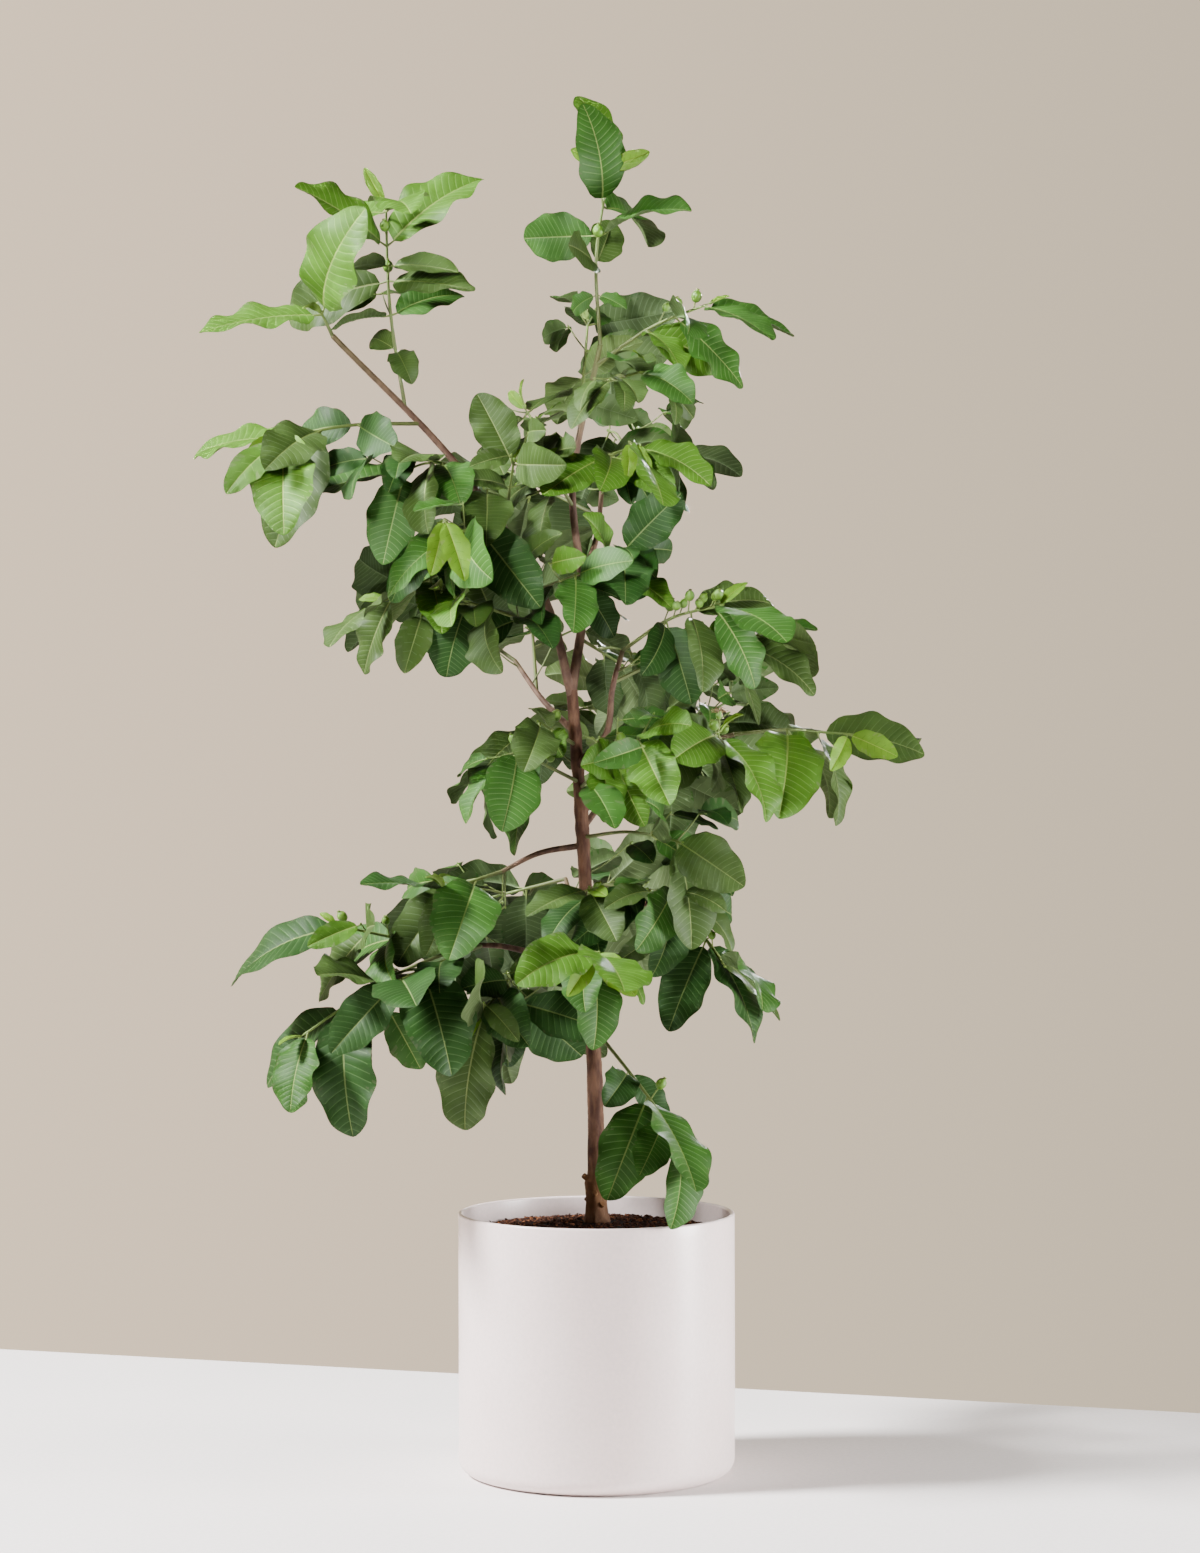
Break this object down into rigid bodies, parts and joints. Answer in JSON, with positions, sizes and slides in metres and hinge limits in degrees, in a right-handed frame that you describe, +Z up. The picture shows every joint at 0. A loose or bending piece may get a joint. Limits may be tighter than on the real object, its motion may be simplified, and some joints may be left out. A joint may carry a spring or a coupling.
{
  "type": "potted guava tree",
  "caption": "Young guava tree with one slim trunk, long open boughs and pairs of large oval leaves, standing in a plain round white pot filled with soil.",
  "frame": {"origin": "middle of the pot's flat underside", "axes": "+Z up along the pot's axis, -Y the front that the crown turns to, +X to the right as seen from the front"},
  "size_m": [0.7869, 0.6048, 1.4975],
  "materials": {
    "pot": "satin off-white glaze",
    "soil": "rough dark potting mix with bark and fibre",
    "bark": "smooth peeling brown bark with paler patches",
    "young_bark": "young reddish bark, green towards the tips",
    "leaf": "half-matt green leaves with pale ribs"
  },
  "bodies": {
    "root": {"pot": "pot", "soil": "soil", "trunk": "bark", "bough_leader": "young_bark", "bough_left_high": "young_bark", "bough_right_high": "young_bark", "bough_right_mid": "young_bark", "bough_left_mid": "young_bark", "bough_right_low": "young_bark", "bough_left_low": "young_bark", "bough_back_high": "young_bark", "bough_back_left": "young_bark", "bough_back_right": "young_bark", "bough_back_low": "young_bark", "top_shoot": "leaf", "bough_tip_left": "leaf", "top_left_shoot": "leaf", "left_far": "leaf", "right_mid": "leaf", "top_right": "leaf", "low_left_far": "leaf", "low_left_upper": "leaf", "low_left_mid": "leaf", "low_right_shoot": "leaf", "bud_twig": "leaf", "right_upper": "leaf", "right_low_tip": "leaf", "left_mid": "leaf", "front_shoot": "leaf", "left_fan": "leaf", "left_out": "leaf", "top_front": "leaf", "top_left": "leaf", "upper_right": "leaf", "centre_right": "leaf", "centre_front": "leaf", "right_inner": "leaf", "centre_low_right": "leaf", "right_behind": "leaf", "right_low_twig": "leaf", "right_low_inner": "leaf", "trunk_front": "leaf", "left_upper": "leaf", "left_centre": "leaf", "left_inner": "leaf", "left_high_twig": "leaf", "left_high_inner": "leaf", "leader_left": "leaf", "low_left_inner": "leaf", "low_left_back": "leaf", "centre_back": "leaf", "back_top": "leaf", "back_high_right": "leaf", "back_high_left": "leaf", "back_left_far": "leaf", "back_left_mid": "leaf", "back_right_far": "leaf", "back_right_mid": "leaf", "back_low_left": "leaf", "back_low_right": "leaf"}
  },
  "joints": []
}
